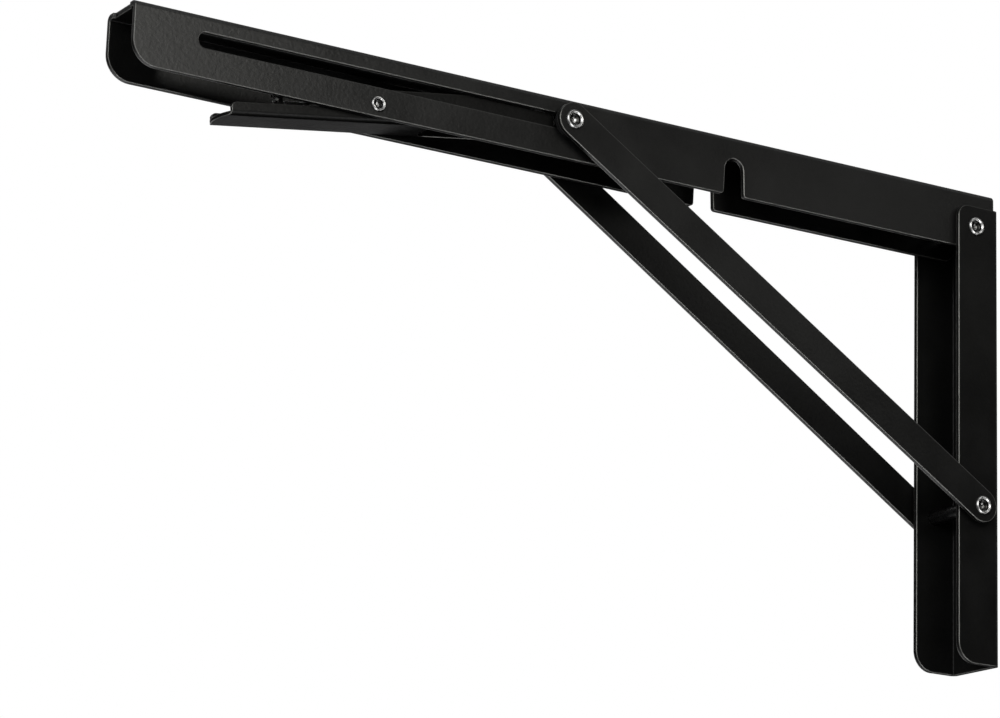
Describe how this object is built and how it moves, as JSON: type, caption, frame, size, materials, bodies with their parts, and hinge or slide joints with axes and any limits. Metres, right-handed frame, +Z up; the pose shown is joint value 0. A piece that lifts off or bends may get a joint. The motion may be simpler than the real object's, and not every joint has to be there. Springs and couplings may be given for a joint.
{
  "type": "folding shelf bracket",
  "caption": "Folding shelf bracket: a channel arm folds down into a wall channel, held level by sliding struts and a sprung release lever.",
  "frame": {"origin": "on the wall face, level with the hinge pin's axis, in the bracket's middle plane", "axes": "+X out from the wall along the open arm, +Z up, +Y sideways to the near side of the picture"},
  "size_m": [0.4012, 0.0404, 0.2009],
  "materials": {
    "black_coat": "satin powder coat",
    "zinc": "bright zinc",
    "dark_bush": "matt",
    "spring_steel": "bright wire"
  },
  "bodies": {
    "leg": {"wall_leg": "black_coat", "hinge_rivet": "zinc", "hinge_washer_near": "dark_bush", "hinge_washer_far": "dark_bush", "foot_rivet": "zinc", "foot_washer_near": "dark_bush", "foot_washer_far": "dark_bush"},
    "arm": {"shelf_arm": "black_coat", "lever_rivet": "zinc", "lever_washer_near": "dark_bush", "lever_washer_far": "dark_bush"},
    "lever": {"release_lever": "black_coat", "lever_spring": "spring_steel"},
    "struts": {"strut_near": "black_coat", "strut_far": "black_coat", "stud_head_near": "zinc", "stud_head_far": "zinc"},
    "slider": {"slide_stud_near": "zinc", "slide_stud_far": "zinc", "slide_bush_near": "dark_bush", "slide_bush_far": "dark_bush"}
  },
  "joints": [
    {"name": "arm_fold", "type": "hinge", "parent": "leg", "child": "arm", "pos_m": [0.012, 0, 0], "axis": [0, 1, 0], "range_deg": [0, 90]},
    {"name": "strut_turn", "type": "hinge", "parent": "leg", "child": "struts", "pos_m": [0.012, 0, -0.12], "axis": [0, 1, 0], "range_deg": [0, 120.68]},
    {"name": "slide_travel", "type": "slide", "parent": "arm", "child": "slider", "axis": [1, 0, 0], "range_m": [0, 0.1562]},
    {"name": "lever_press", "type": "hinge", "parent": "arm", "child": "lever", "pos_m": [0.29783, 0, -0.0037], "axis": [0, -1, 0], "range_deg": [0, 8.5], "stiffness_Nm_per_rad": 0.5, "springref_deg": -11.46, "deforming": ["lever_spring"]}
  ],
  "couplings": [
    {"joint": "strut_turn", "follows": "arm_fold", "ratio": 1.3407},
    {"joint": "slide_travel", "follows": "arm_fold", "m_per_rad": 0.099435}
  ]
}
